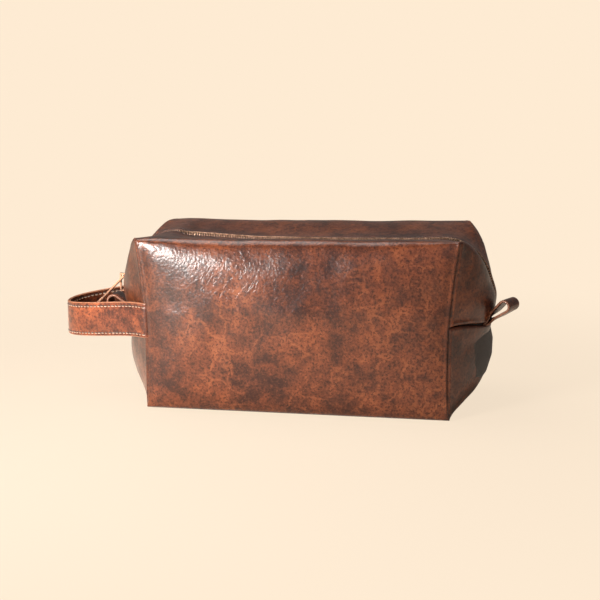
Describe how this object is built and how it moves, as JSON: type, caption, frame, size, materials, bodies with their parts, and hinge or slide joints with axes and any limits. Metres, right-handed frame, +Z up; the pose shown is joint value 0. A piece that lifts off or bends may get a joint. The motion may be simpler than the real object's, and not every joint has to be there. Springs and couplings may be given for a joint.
{
  "type": "toiletry kit bag",
  "caption": "Boxy leather travel kit bag with a zip over the top, a strap loop handle sewn to one end and a folded tab at each end.",
  "frame": {"origin": "centre of the flat base, on the surface the bag stands on", "axes": "+X along the bag away from the handle end, +Y from the front face to the back face, +Z up"},
  "size_m": [0.3682, 0.1232, 0.134],
  "materials": {
    "body_leather": "mottled waxed brown, soft sheen",
    "top_leather": "mottled waxed brown, soft sheen",
    "end_leather": "mottled dark brown, soft sheen",
    "strap_leather": "waxed brown strap face",
    "strap_inside": "dark brown strap back",
    "tab_leather": "dark brown folded strip with pale cut edge",
    "lining": "plain woven lining",
    "zip_tape": "woven zip tape",
    "zip_teeth": "antique brass",
    "zip_metal": "antique brass, polished edges",
    "thread": "waxed thread"
  },
  "bodies": {
    "shell": {"bottom_panel": "body_leather", "front_panel_lower": "body_leather", "back_panel_lower": "body_leather", "left_end_lower": "end_leather", "right_end_lower": "end_leather", "left_cheek_front": "end_leather", "left_cheek_back": "end_leather", "right_cheek_front": "end_leather", "right_cheek_back": "end_leather", "lining_lower": "lining", "left_end_tape": "zip_tape", "right_end_tape": "zip_tape", "left_end_teeth": "zip_teeth", "right_end_teeth": "zip_teeth"},
    "front_mouth_half": {"front_panel_upper": "body_leather", "top_panel_front": "top_leather", "left_shoulder_front": "end_leather", "right_shoulder_front": "end_leather", "lining_front": "lining", "tape_front": "zip_tape", "teeth_front": "zip_teeth", "topstitch_front": "thread"},
    "back_mouth_half": {"back_panel_upper": "body_leather", "top_panel_back": "top_leather", "left_shoulder_back": "end_leather", "right_shoulder_back": "end_leather", "lining_back": "lining", "tape_back": "zip_tape", "teeth_back": "zip_teeth", "topstitch_back": "thread"},
    "zip_slider": {"slider_body": "zip_metal", "slider_bail": "zip_metal"},
    "zip_puller": {"puller": "zip_metal"},
    "strap_handle": {"handle_outer": "strap_leather", "handle_inner": "strap_inside", "handle_stitching": "thread"},
    "left_loop_tab": {"left_tab": "tab_leather"},
    "right_loop_tab": {"right_tab": "tab_leather"}
  },
  "joints": [
    {"name": "front_mouth", "type": "hinge", "parent": "shell", "child": "front_mouth_half", "pos_m": [0, -0.059, 0.084], "axis": [1, 0, 0], "range_deg": [0, 35]},
    {"name": "back_mouth", "type": "hinge", "parent": "shell", "child": "back_mouth_half", "pos_m": [0, 0.059, 0.084], "axis": [-1, 0, 0], "range_deg": [0, 35]},
    {"name": "slider_run", "type": "hinge", "parent": "shell", "child": "zip_slider", "pos_m": [-0.105, 0, 0.088], "axis": [0, -1, 0], "range_deg": [-75, 0]},
    {"name": "puller_swing", "type": "hinge", "parent": "zip_slider", "child": "zip_puller", "pos_m": [-0.15079, 0, 0.09241], "axis": [0, 1, 0], "range_deg": [0, 115]},
    {"name": "handle_swing", "type": "hinge", "parent": "shell", "child": "strap_handle", "pos_m": [-0.1313, 0, 0.0689], "axis": [0, 1, 0], "range_deg": [-15, 25]},
    {"name": "left_tab_bend", "type": "hinge", "parent": "shell", "child": "left_loop_tab", "pos_m": [-0.1443, 0, 0.067], "axis": [0, 1, 0], "range_deg": [-35, 0]},
    {"name": "right_tab_bend", "type": "hinge", "parent": "shell", "child": "right_loop_tab", "pos_m": [0.1452, -0.012, 0.067], "axis": [-0.4384, -0.8988, 0], "range_deg": [-35, 15]}
  ]
}
